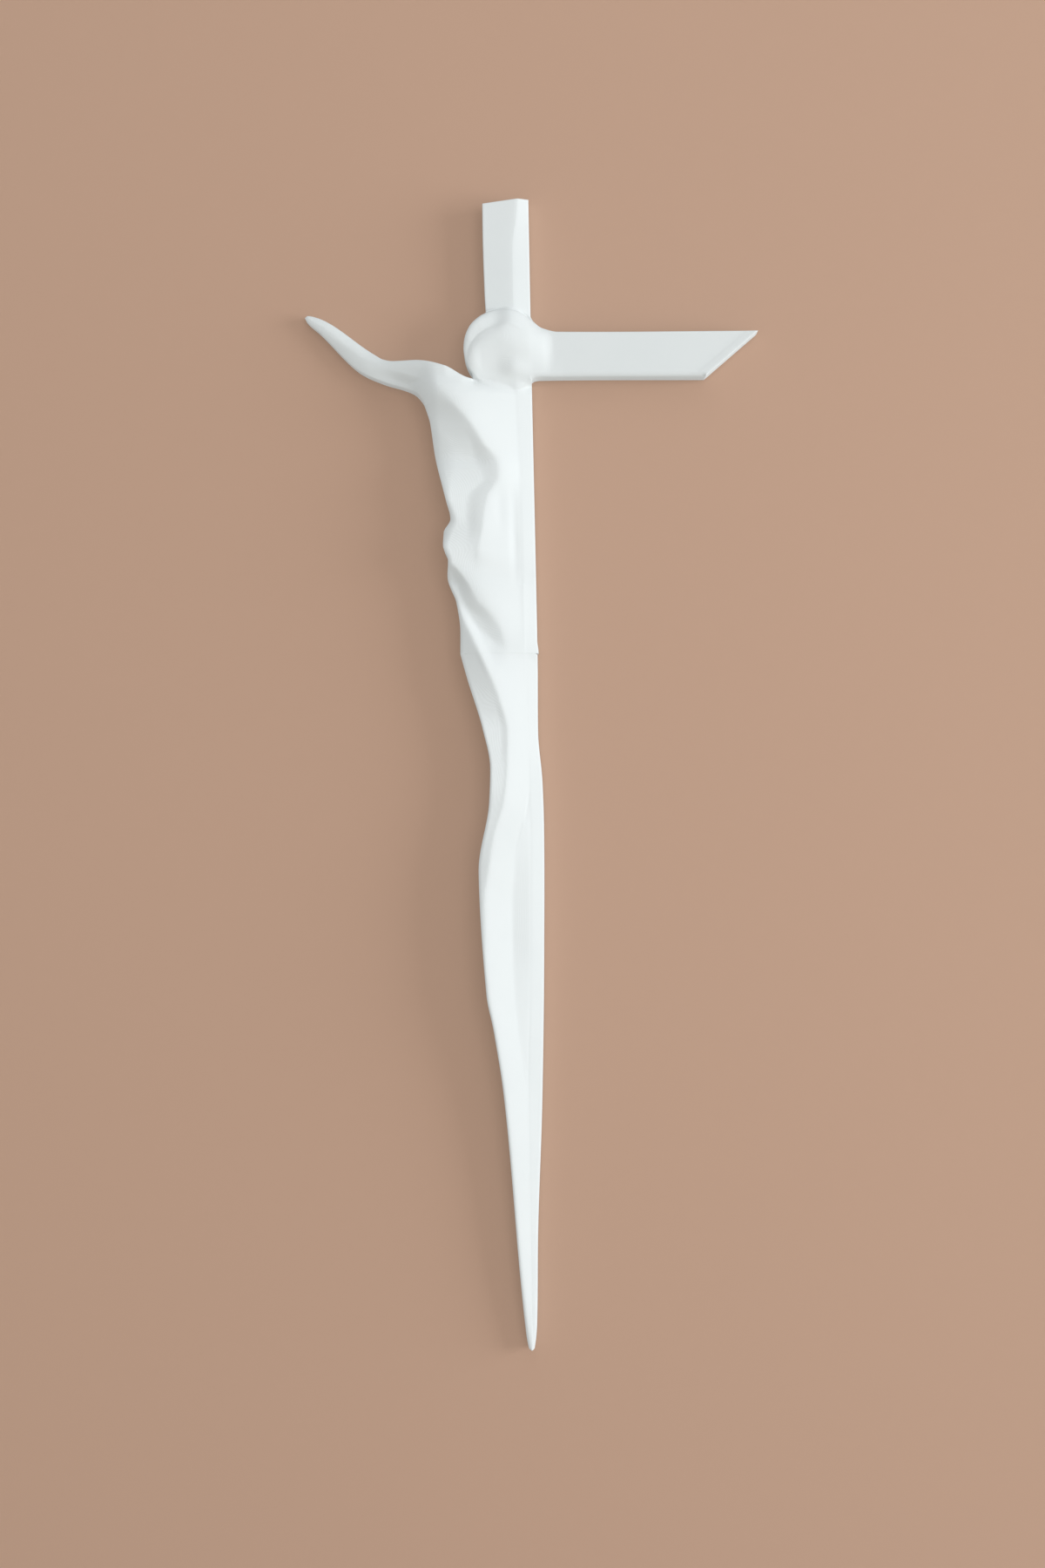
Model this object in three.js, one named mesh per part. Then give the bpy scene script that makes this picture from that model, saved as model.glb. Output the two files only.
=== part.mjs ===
// A wall crucifix in matt white plastic, put together from two printed pieces. Millimetres, +Z up. The flat
// back lies in the plane y = 0 against the wall, the carved front faces -Y, and the arms cross at the origin.
import * as THREE from 'three';
import { mergeGeometries, mergeVertices } from 'three/addons/utils/BufferGeometryUtils.js';

// The cross
const BEAM_DEPTH = 10;
const STEM_RIGHT = 9.1;
const STEM_TOP = 66;
const TOP_SLANT = 0.13;
const BAR_END = 84.4;
const BAR_TIP = 107.5;
const BAR_SLOPE = 0.0135;
const END_LIP = 0.35;
const EDGE_DROP = 2.8;

// The joint between the two prints, and the point at the foot
const SEAM = -131;
const SEAM_GAP = 0.3;
const FOOT = { x: 1.3, z: -434 };

// The figure's landmarks
const ARMPIT = { x: -37.1, z: -24 };
const NOTCH = { x: -16.3, z: -12.3 };
const HAND = { x: -89.2, z: 17.2 };
const HOOD = { x: -2.5, z: 0.6, radius: 17.6 };
const BALL = { x: -3.5, z: -5.5, radius: 16.1 };
const HOOD_FOOT = 16.4;
const FILLET_TOP = 15.2;
const INNER_CORNER = -12.6;

// How finely each stretch is faceted
const COLUMN_ROWS = [46, 9, 14, 7];
const COLUMN_CELLS = 20;
const COLUMN_EDGE = 0.035;
const BAR_CELLS = 24;
const ARM_CELLS = 24;
const LEG_ROWS = 60;
const FOOT_ROWS = 6;
const FOOT_LENGTH = 9;
const LEG_CELLS = 11;
const LEG_EDGE = 0.05;

const PLASTIC = 0xdfe3e3;

const { clamp, lerp, smoothstep } = THREE.MathUtils;

// A smooth run through [place, value] knots that never overshoots between two of them.
function run(knots) {
  const rise = (i) => (knots[i + 1][1] - knots[i][1]) / (knots[i + 1][0] - knots[i][0]);
  const last = knots.length - 1;
  const slopes = knots.map((knot, i) => {
    if (i === 0 || i === last) return rise(Math.min(i, last - 1));
    const before = rise(i - 1);
    const after = rise(i);
    return before * after > 0 ? (2 * before * after) / (before + after) : 0;
  });
  return (at) => {
    const place = clamp(at, knots[0][0], knots[last][0]);
    const i = Math.max(0, Math.min(last - 1, knots.findIndex((knot) => knot[0] > place) - 1));
    const k = place >= knots[last][0] ? last - 1 : i;
    const span = knots[k + 1][0] - knots[k][0];
    const t = (place - knots[k][0]) / span;
    const from = (2 * t ** 3 - 3 * t ** 2 + 1) * knots[k][1] + (t ** 3 - 2 * t ** 2 + t) * span * slopes[k];
    return from + (3 * t ** 2 - 2 * t ** 3) * knots[k + 1][1] + (t ** 3 - t ** 2) * span * slopes[k + 1];
  };
}

// The higher of two heights, with a rounded join where they are close.
function higher(a, b, blend) {
  const near = Math.max(blend - Math.abs(a - b), 0) / blend;
  return Math.max(a, b) + (near * near * blend) / 4;
}

function above(value, blend) {
  return higher(value, 0, blend);
}

// 0 at start, 1 at end, in either direction.
function fade(at, start, end) {
  return start < end ? smoothstep(at, start, end) : 1 - smoothstep(at, end, start);
}

// How far a rounded crest has fallen at an offset to its left (negative) or right (positive).
function roof(offset, leftSlope, rightSlope, radius) {
  const mean = (leftSlope + rightSlope) / 2;
  return mean * (Math.hypot(offset, radius) - radius) + ((rightSlope - leftSlope) / 2) * offset;
}

// 0 at an edge, rising as a quarter circle to 1 a radius inside it.
function roundIn(distance, radius) {
  return Math.sqrt(1 - (1 - clamp(distance / radius, 0, 1)) ** 2);
}

// Outline runs: x along z for the upright's sides, z along x for the arms' edges
const torsoLeft = run([[-131, -24], [-121, -23.8], [-109, -25.2], [-97.5, -28.9], [-91, -28.4],
  [-84.5, -30.4], [-78.5, -30.1], [-73, -27.1], [-63.6, -29.2], [-45.4, -33.3], [-30.2, -35.3],
  [-24, -37.1]]);
const legsLeft = run([[-434, 1.3], [-433, 0], [-422, -1.5], [-323, -8.7], [-293, -12.7], [-278, -15.4],
  [-225, -17.8], [-195, -12.7], [-180, -12], [-164, -14.8], [-141.7, -21.2], [-131, -24]]);
const bodyRight = run([[-434, 1.3], [-433, 2.5], [-422, 3.8], [-384, 4.9], [-324, 7.9], [-263, 9.8],
  [-203, 10.8], [-187, 10.5], [-165, 9], [-131, 9.4], [INNER_CORNER, STEM_RIGHT]]);
const headLeft = run([[-12.3, -16.3], [-10.5, -16.5], [-8, -17.9]]);
const hoodLeft = (z) => HOOD.x - Math.sqrt(HOOD.radius ** 2 - (z - HOOD.z) ** 2);
const stemLeft = run([[HOOD_FOOT, hoodLeft(HOOD_FOOT)], [24, -10.6], [50, -11], [66, -10.9]]);
const armTop = run([[-89.2, 17.2], [-88.1, 18.1], [-84.4, 17.3], [-59.7, 0.5], [-55.2, -2.4], [-51, -3.4],
  [-41.6, -3.7], [-28.1, -7.1], [-19.1, -11.8], [-16.3, -12.3]]);
const armLow = run([[-89.2, 17.2], [-88.6, 15.9], [-82.9, 10.5], [-64.9, -7.4], [-55.9, -11.7],
  [-42.5, -16.4], [-38.2, -21], [-37.1, -24]]);
const barTop = run([[9.1, 15.2], [10.5, 12.7], [14.2, 9.7], [20.6, 8], [BAR_TIP, 8 - BAR_SLOPE * 86.9]]);
const barLow = run([[9.1, -12.6], [10.6, -11.7], [13, -11.4], [BAR_END, -11.4 - BAR_SLOPE * 71.4]]);

// Carving: where each crest runs, x along z, how high it stands off the wall, and how it falls on its left: a
// low wall of a given width, then ground that leans to the left (positive) or to the right (negative)
const ridge = run([[-434, 1.3], [-330, 1.6], [-262.8, 3.9], [-206, 4.8], [-150, 4], [-60, 3.4], [19, 1.7],
  [45, 1.8], [58, 3.6], [66, 4.4]]);
const stemHeight = run([[-434, 5.8], [-421, 6.3], [-395, 6.7], [-357, 7.6], [-320, 8.2], [-293, 9.1],
  [-250, BEAM_DEPTH]]);
const stemDrop = run([[-434, 0.9], [-395, 1.6], [-357, 2.4], [-320, 3], [-250, 2.8], [-200, EDGE_DROP]]);
const chestCrest = run([[-106, -18.5], [-93, -16.8], [-85.7, -15.9], [-78.2, -14], [-70.7, -13],
  [-63.1, -11.4], [-55.6, -7.3], [-52, -6.9], [-48, -7.6], [-40.5, -12.8], [-33, -17.3], [-25.4, -23.2],
  [-19.7, -27.6], [-14, -32], [-9, -36]]);
const chestHeight = run([[-106, 18.3], [-85.7, 18.2], [-78.2, 18], [-70.7, 17.6], [-63.1, 16.9],
  [-55.6, 15.5], [-48, 15.7], [-40.5, 17.8], [-33, 19.8], [-25.4, 20.9], [-19.7, 21.2], [-12, 20]]);
const chestEase = run([[-106, 6], [-93, 5], [-85.7, 1.6], [-78, 1], [-70.7, 1], [-63.1, 1.6], [-55.6, 3],
  [-48, 3], [-40.5, 1.6], [-33, 1.6], [-25.4, 5], [-19, 8]]);
const chestWall = run([[-93, 0], [-85.7, 0.15], [-78.2, 0.7], [-70.7, 1.8], [-63.1, 1.6], [-55.6, 0.7],
  [-52, 0.8], [-48, 1.4], [-40.5, 0.55], [-34, 0]]);
const chestWallWidth = run([[-78.2, 6], [-70.7, 8], [-63.1, 8.5], [-55.6, 6], [-48, 9], [-40.5, 5]]);
const chestLean = run([[-93, -0.2], [-85.7, -0.14], [-78.2, -0.08], [-70.7, -0.22], [-63.1, -0.22],
  [-55.6, -0.15], [-48, -0.07], [-40.5, 0.09], [-33, 0.26], [-25.4, 0.42], [-15, 0.45]]);
const hipCrest = run([[-133, -5], [-123.4, -6.2], [-115.9, -9.6], [-108.3, -15.6], [-100.8, -19.8],
  [-95.6, -23.5], [-86, -32]]);
const hipHeight = run([[-133, 12.5], [-123.4, 14], [-115.9, 15.5], [-108.3, 17.4], [-100.8, 18.2],
  [-86, 18.6]]);
const hipEase = run([[-123.4, 2], [-115.9, 3], [-108.3, 5], [-100.8, 6]]);
const hipWall = run([[-131, 0], [-123.4, 0.05], [-115.9, 0.7], [-108.3, 1.5], [-100.8, 2.7], [-95.6, 2.2],
  [-88, 1.2]]);
const hipWallWidth = run([[-123.4, 6], [-115.9, 6.5], [-108.3, 8], [-100.8, 5.5], [-95.6, 4]]);
const hipLean = run([[-116, 0.05], [-101, 0.25]]);
const legCrest = run([[-434, 1.3], [-422, -0.7], [-323, -8.1], [-293, -12.1], [-278, -14.6],
  [-258.9, -15.9], [-236.3, -15.7], [-225, -13.9], [-210, -11.5], [-195, -6.9], [-180, -5.1],
  [-165, -4.6], [-149.8, -8], [-134.7, -13.9], [-115.9, -22.3], [-98, -30]]);
const legHeight = run([[-434, 6], [-395, 9.3], [-357, 11.4], [-320, 14], [-293, 16.9], [-274, 18.3],
  [-247, 18.5], [-225, 17.9], [-195, 15.9], [-180, 15.1], [-165, 14.6], [-150, 16.1], [-134.7, 17.9],
  [-116, 16], [-98, 15]]);
const legLean = run([[-240, 0.15], [-225, 0.16], [-210, 0.02], [-195, -0.1], [-187, -0.2], [-165, -0.2],
  [-157.3, -0.03], [-149.8, 0.1], [-134.7, 0.36], [-123.4, 0.55], [-116, 0.6]]);
const legWall = run([[-180, 0], [-172.4, 0.3], [-165, 0.3], [-157.3, 0.3], [-149.8, 0.12], [-142.2, 0.1],
  [-134.7, 0.4], [-128, 0]]);
const LEG_WALL_WIDTH = 2.6;
const LEG_EASE = 1;
const terraceStart = run([[-320, 1.8], [-293, -1.5], [-280, -2.5], [-262, -3.2], [-240, -3], [-225, -1.8],
  [-214, -0.5], [-206, 1.6], [-190, 4.4]]);
const terraceTilt = run([[-320, 0.5], [-293, 0.4], [-274, 0.35], [-255, 0.25], [-240, 0.26], [-225, 0.3],
  [-214, 0.38], [-200, 0.45]]);
const legSag = run([[-139, 0], [-134.7, 0.35], [-129, 0.9], [-123.4, 1.3], [-116, 1.1], [-108, 0]]);
const lens = run([[-103, 0], [-96, 0.2], [-90, 0.35], [-82.4, 0.5], [-77, 0.4], [-66, 0.25], [-58, 0]]);
const trough = run([[-80, 0], [-71, 0.25], [-65, 0.2], [-58, 0]]);
const armRidge = run([[-89, 16.9], [-84, 12.6], [-74.4, 6], [-68.4, 2], [-60.6, -3.3], [-51, -5.5],
  [-43.3, -6.6], [-36, -8.5], [-24, -14]]);
const armHeight = run([[-89.2, 5], [-80, 6.6], [-68, 8], [-56, 10], [-48, 12.2], [-40, 15], [-34, 17.4],
  [-28, 19.2]]);
const armSlope = run([[-89, 0.3], [-77, 0.32], [-68, 0.18], [-58, 0.15], [-50, 0.22], [-42, 0.28],
  [-36, 0.4]]);
const armRise = run([[-89, 0.15], [-62, 0.2], [-54, 0.1], [-30, 0.05]]);
const muscle = run([[-60, -7.3], [-55, -8.5], [-50.5, -9.6], [-47.5, -10.5], [-43.8, -11.8], [-40, -13.2],
  [-35, -15.5]]);
const muscleStep = run([[-64, 0], [-58, 0.5], [-53, 1.3], [-49, 2.4], [-45, 3], [-41, 2.8], [-37, 1.5],
  [-33, 0.3]]);
const crownRidge = run([[-20, -2], [-16, 2], [-12, 5], [-4, 6.5], [4, 5.5], [20, 1.5]]);
const crownHeight = run([[-20, 17.3], [-12, 17.2], [-4, 16.9], [0, 16.4], [4, 15.5], [7.5, 14.5],
  [10.5, 13.3], [13.5, 12], [16.5, 10.6], [18.5, 10.05], [21, 9.9], [30, 7]]);
const crownLow = run([[-20, 14.5], [-12, 13.2], [-6, 12.6], [-1, 12.2], [3, 11.9], [6, 11.6], [10, 10.9],
  [14, 10.35], [18, 10.05], [21, 9.9], [30, 7]]);
const crownRim = run([[-20, 16.6], [-16, 16], [-13, 15], [-10.6, 13.8], [-8, 13], [-5, 12.4], [-1, 12.2],
  [3, 11.4], [6, 9.9], [9.1, 8.3], [12, 9], [15, 9.7], [20, 9.9], [30, 7]]);
const crownTop = run([[-20.1, 0.6], [-19.4, 5.5], [-17, 10.6], [-13, 14.7], [-8, 17.3], [-2.5, 18.2],
  [4, 17], [9.1, 14.4], [10.5, 12.7], [14.2, 9.7], [20.6, 8]]);
const hoodWave = run([[-18, 0.1], [-12, 0.1], [-5, -0.4], [1, 0.4], [6, 0.1], [9, 0]]);
const chinLine = run([[-17, -12], [-8, -13], [-4, -12.5], [0, -11.5], [4, -11], [9, -11.5], [14, -14]]);
const CHEEK = { x: 1.2, z: -7.8 };
const CORNER = { x: 8.5, z: -14.8 };

function bump(x, z, centre, width, height) {
  return Math.exp(-(((x - centre.x) / width) ** 2) - ((z - centre.z) / height) ** 2);
}

function groove(offset, width) {
  return Math.exp(-((offset / width) ** 2));
}

// A crest that falls on its right to the upright, and on its left by a low wall and then leaning ground.
function fold(x, { crest, top, end, endHeight, ease, wall, wallWidth, lean, leftEase = 1.2 }) {
  const full = Math.max(end - crest, 2);
  const along = Math.max(x - crest, 0);
  const right = ((top - endHeight) * (Math.hypot(along, ease) - ease)) / (Math.hypot(full, ease) - ease);
  const out = Math.max(crest - x, 0);
  const left = wall * fade(out, 0, wallWidth) + lean * (Math.hypot(out, leftEase) - leftEase);
  return top - right - left;
}

// The cross itself: the upright, chamfered along its right side, and the flat bar.
function crossHeight(x, z) {
  const side = z > INNER_CORNER ? STEM_RIGHT : bodyRight(z);
  const chamfer = roof(x - ridge(z), 0, stemDrop(z) / Math.max(side - ridge(z), 1), 0.8);
  const terrace = terraceTilt(z) * clamp(ridge(z) - x, 0, Math.max(ridge(z) - terraceStart(z), 0));
  const beyond = fade(z, -34, -26) * above(-16 - x, 4);
  const stem = stemHeight(z) - chamfer + fade(z, -190, -206) * terrace - beyond;
  const onBar = fade(x, 3, 10) * Math.max(fade(z, 12, 8) * fade(z, -15, -11), fade(x, 11, 16));
  const toEnd = ((BAR_END - x) * 19 + (z - INNER_CORNER) * 23) / Math.hypot(19, 23);
  return lerp(stem, BEAM_DEPTH + END_LIP * fade(toEnd, 5, 1), onBar);
}

function chestShape(x, z) {
  const folded = fold(x, { crest: chestCrest(z), top: chestHeight(z), end: ridge(z), endHeight: stemHeight(z),
    ease: chestEase(z), wall: chestWall(z), wallWidth: chestWallWidth(z), lean: chestLean(z),
    leftEase: 1.2 + 4.8 * fade(z, -27, -15) });
  const underHead = (14 * fade(z, -12.5, -1) + above(z + 16, 3)) * fade(x, -22, -14);
  return folded - underHead - 0.5 * above(z + 13, 3) - above(-35 - x, 4);
}

function hipShape(x, z) {
  const folded = fold(x, { crest: hipCrest(z), top: hipHeight(z), end: ridge(z), endHeight: stemHeight(z),
    ease: hipEase(z), wall: hipWall(z), wallWidth: hipWallWidth(z), lean: hipLean(z) });
  return folded - 6 * fade(z, SEAM, -150);
}

function legShape(x, z) {
  const end = Math.min(terraceStart(z), ridge(z));
  const crest = legCrest(z);
  const endHeight = stemHeight(z) + terraceTilt(z) * (ridge(z) - end) + 0.1;
  const folded = fold(x, { crest, top: legHeight(z), end, endHeight, ease: LEG_EASE, wall: legWall(z),
    wallWidth: LEG_WALL_WIDTH, lean: legLean(z) });
  const sag = legSag(z) * fade(x, crest, crest + 5) * fade(x, -3, -11);
  return folded - sag - 0.5 * Math.max(x - end, 0) - 10 * fade(z, -102, -90);
}

function bodyHeight(x, z) {
  const torso = lerp(chestShape(x, z), hipShape(x, z), fade(z, -86, -99));
  return higher(torso, legShape(x, z), 0.6);
}

function armSwell(x, z) {
  const rod = armHeight(x) - roof(z - armRidge(x), armSlope(x), armRise(x), 1.5);
  const step = muscleStep(x) * fade(z, muscle(x) + 2, muscle(x) - 2.2);
  return rod - step - 0.42 * above(x + 29, 8) - 2 * fade(x, -18, -10);
}

// The bowed head: a smooth crown under the rim of a hood, with a crescent groove between the two, running out
// to the right into the bar.
function headHeight(x, z) {
  const inside = HOOD.radius - Math.hypot(x - HOOD.x, z - HOOD.z);
  const inBall = BALL.radius - Math.hypot(x - BALL.x, z - BALL.z);
  const off = z - crownRidge(x);
  const nearRim = 1 - clamp(off / Math.max(crownTop(x) - crownRidge(x), 1), 0, 1);
  const upper = lerp(crownRim(x), crownHeight(x), nearRim * (2 - nearRim));
  const dome = lerp(upper, crownLow(x), fade(off, -1, -19)) + 1.2 * bump(x, z, CHEEK, 5, 4);
  const hooded = fade(x, -1, -8);
  const ball = dome - hooded * (1.6 * (1 - roundIn(inBall, 6.5)) + 4 * Math.max(-inBall, 0));
  const brim = dome + hoodWave(x) * fade(inBall, 1, -1) - 0.9 * hooded * fade(inBall, -5, 0.8);
  const hood = brim - 2 * fade(x, 6, -4) * Math.max(inBall - 0.5, 0);
  const fall = 3 * fade(x, 11, 8) * above(-inside, 0.5) + 0.5 * above(chinLine(x) - z, 2);
  return Math.max(ball, hood) - fall;
}

function frontHeight(x, z) {
  const body = higher(crossHeight(x, z), bodyHeight(x, z), 0.3);
  const hollows = lens(z) * groove(x - ridge(z) + 3.2, 1.8) + trough(z) * groove(x + 5.8, 2.2);
  const figure = higher(body - hollows, armSwell(x, z), 2);
  if (z < -30 || x > 30 || x < -30) return figure;
  const blend = lerp(0.6, 3, fade(z, 3, -12)) * lerp(1, 0.2, fade(x, 6, 13));
  return higher(figure, headHeight(x, z), blend) - 1.3 * bump(x, z, CORNER, 3, 2.5);
}

// Edges: the radius over which the front turns over near the outline, and how far it drops there before the
// upright wall
const armTopRadius = run([[-12, 1.5], [-7, 2.5], [-3.4, 3.5], [0.5, 4.5], [17, 4]]);
const armLowRadius = run([[-24, 2], [-20, 2.5], [-15, 3], [-7, 4], [3, 5], [10, 4.5], [17, 3]]);
const torsoRadius = run([[-131, 1.5], [-100, 1.5], [-95, 2], [-89, 2], [-82, 3], [-78, 4.2], [-73, 3.5],
  [-65, 2.2], [-59, 4], [-53, 7], [-47, 9], [-41, 8], [-34, 4], [-24, 2.5]]);
const torsoDrop = run([[-131, 1.5], [-95, 1.6], [-84, 1.6], [-78, 3.8], [-73, 2.8], [-65, 1.5], [-59, 1.8],
  [-53, 2.4], [-47, 3], [-41, 2.5], [-34, 1.2], [-24, 0.9]]);
const legLeftRadius = run([[-434, 1.2], [-395, 0.7], [-320, 0.7], [-255, 0.8], [-225, 1.2], [-165, 1],
  [-131, 1.2]]);
const legRightRadius = run([[-434, 1.2], [-395, 0.7], [-300, 0.5], [-131, 0.5]]);
const EDGES = {
  right: () => ({ radius: 0.5, drop: 0.5 }),
  barLow: () => ({ radius: 2.2, drop: 1.7 }),
  bar: () => ({ radius: 0.4, drop: 0.4 }),
  joint: () => ({ radius: 0.1, drop: 0.04 }),
  armTop: (z) => ({ radius: armTopRadius(z), drop: 0.4 * armTopRadius(z) }),
  armLow: (z) => ({ radius: armLowRadius(z), drop: 0.22 * armLowRadius(z) }),
  head: (z) => ({ radius: lerp(4.5, 2.5, fade(z, 2, 7)), drop: 0.35 * lerp(4.5, 2.5, fade(z, 2, 7)) }),
  torso: (z) => ({ radius: torsoRadius(z), drop: torsoDrop(z) }),
  legLeft: (z) => legEdge(legLeftRadius(z), z),
  legRight: (z) => legEdge(legRightRadius(z), z),
};

function legEdge(wanted, z) {
  const half = (bodyRight(z) - legsLeft(z)) / 2;
  const radius = Math.max(Math.min(wanted, half), 0.3);
  return { radius, drop: radius };
}

// The height of the front at a point, turned over towards the nearest stretch of a rim of { x, z, edge }.
function dressedHeight(x, z, rim) {
  let nearest = Infinity;
  let edge = rim[0].edge;
  rim.forEach((from, i) => {
    const to = rim[(i + 1) % rim.length];
    const length = Math.hypot(to.x - from.x, to.z - from.z) || 1;
    const reach = (x - from.x) * (to.x - from.x) + (z - from.z) * (to.z - from.z);
    const along = clamp(reach / length ** 2, 0, 1);
    const distance = Math.hypot(x - lerp(from.x, to.x, along), z - lerp(from.z, to.z, along));
    if (distance < nearest - 1e-6) {
      nearest = distance;
      edge = from.edge;
    }
  });
  return frontHeight(x, z) - edge.drop * (1 - roundIn(nearest, edge.radius));
}

// A grid of cells whose points come from place(u, v); each cell is cut along its flatter diagonal.
function patch(columns, rows, place) {
  const plane = new THREE.PlaneGeometry(1, 1, columns, rows);
  const positions = plane.attributes.position;
  const point = new THREE.Vector3();
  for (let k = 0; k < positions.count; k += 1) {
    const u = (k % (columns + 1)) / columns;
    const v = 1 - Math.floor(k / (columns + 1)) / rows;
    positions.setXYZ(k, ...place(u, v, point).toArray());
  }
  const index = plane.index.array;
  for (let k = 0; k < index.length; k += 6) {
    const [a, b, d, , c] = index.slice(k, k + 6);
    if (Math.abs(positions.getY(a) - positions.getY(c)) < Math.abs(positions.getY(b) - positions.getY(d))) {
      index.set([a, b, c, a, c, d], k);
    }
  }
  plane.deleteAttribute('normal');
  plane.deleteAttribute('uv');
  return plane;
}

// One closed solid: the carved front patches, a wall round the rim, and the patches of the flat back, which
// meet the wall at the rim's points alone.
function solid(name, fronts, backs, rim) {
  const heights = new Map();
  const heightAt = (x, z) => {
    const key = `${x.toFixed(4)} ${z.toFixed(4)}`;
    if (!heights.has(key)) heights.set(key, dressedHeight(x, z, rim));
    return heights.get(key);
  };
  const front = fronts.map(({ columns, rows, at }) => patch(columns, rows, (u, v, point) => {
    const [x, z] = at(u, v);
    return point.set(x, -heightAt(x, z), z);
  }));
  const wall = patch(1, rim.length, (u, v, point) => {
    const { x, z } = rim[Math.round(v * rim.length) % rim.length];
    return point.set(x, (u - 1) * heightAt(x, z), z);
  });
  const back = backs.map(({ columns, rows, at }) => patch(columns, rows, (u, v, point) => {
    const [x, z] = at(1 - u, v);
    return point.set(x, 0, z);
  }));
  const merged = mergeVertices(mergeGeometries([...front, wall, ...back]), 1e-3);
  const faces = [];
  for (let k = 0; k < merged.index.count; k += 3) {
    const [a, b, c] = merged.index.array.slice(k, k + 3);
    if (a !== b && b !== c && c !== a) faces.push(a, b, c);
  }
  merged.setIndex(faces);
  merged.computeVertexNormals();
  const plastic = new THREE.MeshStandardMaterial({ color: PLASTIC, roughness: 0.62, metalness: 0 });
  const mesh = new THREE.Mesh(merged, plastic);
  mesh.name = name;
  return mesh;
}

// Places across a row, 0 to 1, with a narrow first and last cell for the turned-over edges.
function across(u, cells, edge) {
  const k = Math.round(u * cells);
  if (k === 0 || k === cells) return u;
  return lerp(edge, 1 - edge, (k - 1) / (cells - 2));
}

// The upright of the upper piece, between guide rows at the joint, armpit, notch, hood and top.
const GUIDES = [
  { left: SEAM, right: SEAM },
  { left: ARMPIT.z, right: ARMPIT.z },
  { left: NOTCH.z, right: INNER_CORNER },
  { left: HOOD_FOOT, right: FILLET_TOP, bow: (x) => fade(x, STEM_RIGHT, 3) * hoodArc(x) },
  { left: topEdge(stemLeft(STEM_TOP)), right: STEM_TOP, bow: topBow },
];
const COLUMN_LEFT = [
  torsoLeft,
  (z) => lerp(ARMPIT.x, NOTCH.x, (z - ARMPIT.z) / (NOTCH.z - ARMPIT.z)),
  (z) => (z < -8 ? headLeft(z) : hoodLeft(z)),
  stemLeft,
];

function hoodArc(x) {
  const left = hoodLeft(HOOD_FOOT);
  const held = Math.max(x, left);
  const level = lerp(HOOD_FOOT, FILLET_TOP, (held - left) / (STEM_RIGHT - left));
  return HOOD.z + Math.sqrt(HOOD.radius ** 2 - (held - HOOD.x) ** 2) - level;
}

function topEdge(x) {
  return STEM_TOP + Math.min(x - ridge(STEM_TOP), 0) * TOP_SLANT;
}

function topBow(x) {
  const left = stemLeft(STEM_TOP);
  return topEdge(x) - lerp(topEdge(left), STEM_TOP, (x - left) / (STEM_RIGHT - left));
}

function columnPoint(u, stretch, v) {
  const [from, to] = [GUIDES[stretch], GUIDES[stretch + 1]];
  const leftZ = lerp(from.left, to.left, v);
  const rightZ = lerp(from.right, to.right, v);
  const left = COLUMN_LEFT[stretch](leftZ);
  const s = across(u, COLUMN_CELLS, COLUMN_EDGE);
  const x = lerp(left, stretch < 2 ? bodyRight(rightZ) : STEM_RIGHT, s);
  const bowFrom = from.bow && s > 0 && s < 1 ? from.bow(x) * (1 - v) : 0;
  const bowTo = to.bow && s > 0 && s < 1 ? to.bow(x) * v : 0;
  return [x, lerp(leftZ, rightZ, s) + bowFrom + bowTo];
}

function barPoint(u, v) {
  const along = u ** 1.2;
  const low = lerp(STEM_RIGHT, BAR_END, along);
  const top = lerp(STEM_RIGHT, BAR_TIP, along);
  return [lerp(low, top, v), lerp(barLow(low), barTop(top), v)];
}

// u runs from the hand to the shoulder, v from the arm's lower edge to its upper one.
function armPoint(u, v) {
  const top = lerp(NOTCH.x, HAND.x, 0.5 * (1 - u) + 0.5 * Math.sin((Math.PI * (1 - u)) / 2));
  const low = lerp(ARMPIT.x, HAND.x, 0.5 - 0.5 * Math.cos(Math.PI * (1 - u)));
  if (u === 1) return [lerp(ARMPIT.x, NOTCH.x, v), lerp(ARMPIT.z, NOTCH.z, v)];
  return [lerp(low, top, v), lerp(armLow(low), armTop(top), v)];
}

// Rim points in order round the outline, each carrying the edge that starts there.
function rimRun(count, at, edge) {
  return Array.from({ length: count }, (_, i) => {
    const [x, z] = at(i / count);
    return { x, z, edge: edge(z) };
  });
}

// The flat back in strips one cell wide; where only one side carries the rim's points, the strip is a fan.
function upperBack() {
  const [torsoRows, shoulderRows, headRows, stemRows] = COLUMN_ROWS;
  const firstRow = 1 / torsoRows;
  const lastRow = 1 - 1 / stemRows;
  const lastBar = 1 - 1 / BAR_CELLS;
  return [
    { columns: COLUMN_CELLS, rows: 1, at: (u, v) => columnPoint(v ? Math.round(u) : u, 0, v * firstRow) },
    { columns: 1, rows: torsoRows - 1, at: (u, v) => columnPoint(u, 0, lerp(firstRow, 1, v)) },
    { columns: 1, rows: shoulderRows, at: (u, v) => columnPoint(u, 1, u ? v : Math.floor(v)) },
    { columns: 1, rows: headRows, at: (u, v) => columnPoint(u, 2, u ? Math.floor(v) : v) },
    { columns: 1, rows: stemRows - 1, at: (u, v) => columnPoint(u, 3, lerp(0, lastRow, v)) },
    { columns: COLUMN_CELLS, rows: 1, at: (u, v) => columnPoint(v ? u : Math.round(u), 3, v || lastRow) },
    { columns: BAR_CELLS - 1, rows: 1, at: (u, v) => barPoint(lerp(0, lastBar, u), v) },
    { columns: 1, rows: headRows, at: (u, v) => (u ? barPoint(1, v) : barPoint(lastBar, Math.round(v))) },
    { columns: ARM_CELLS, rows: 1, at: armPoint },
  ];
}

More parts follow.
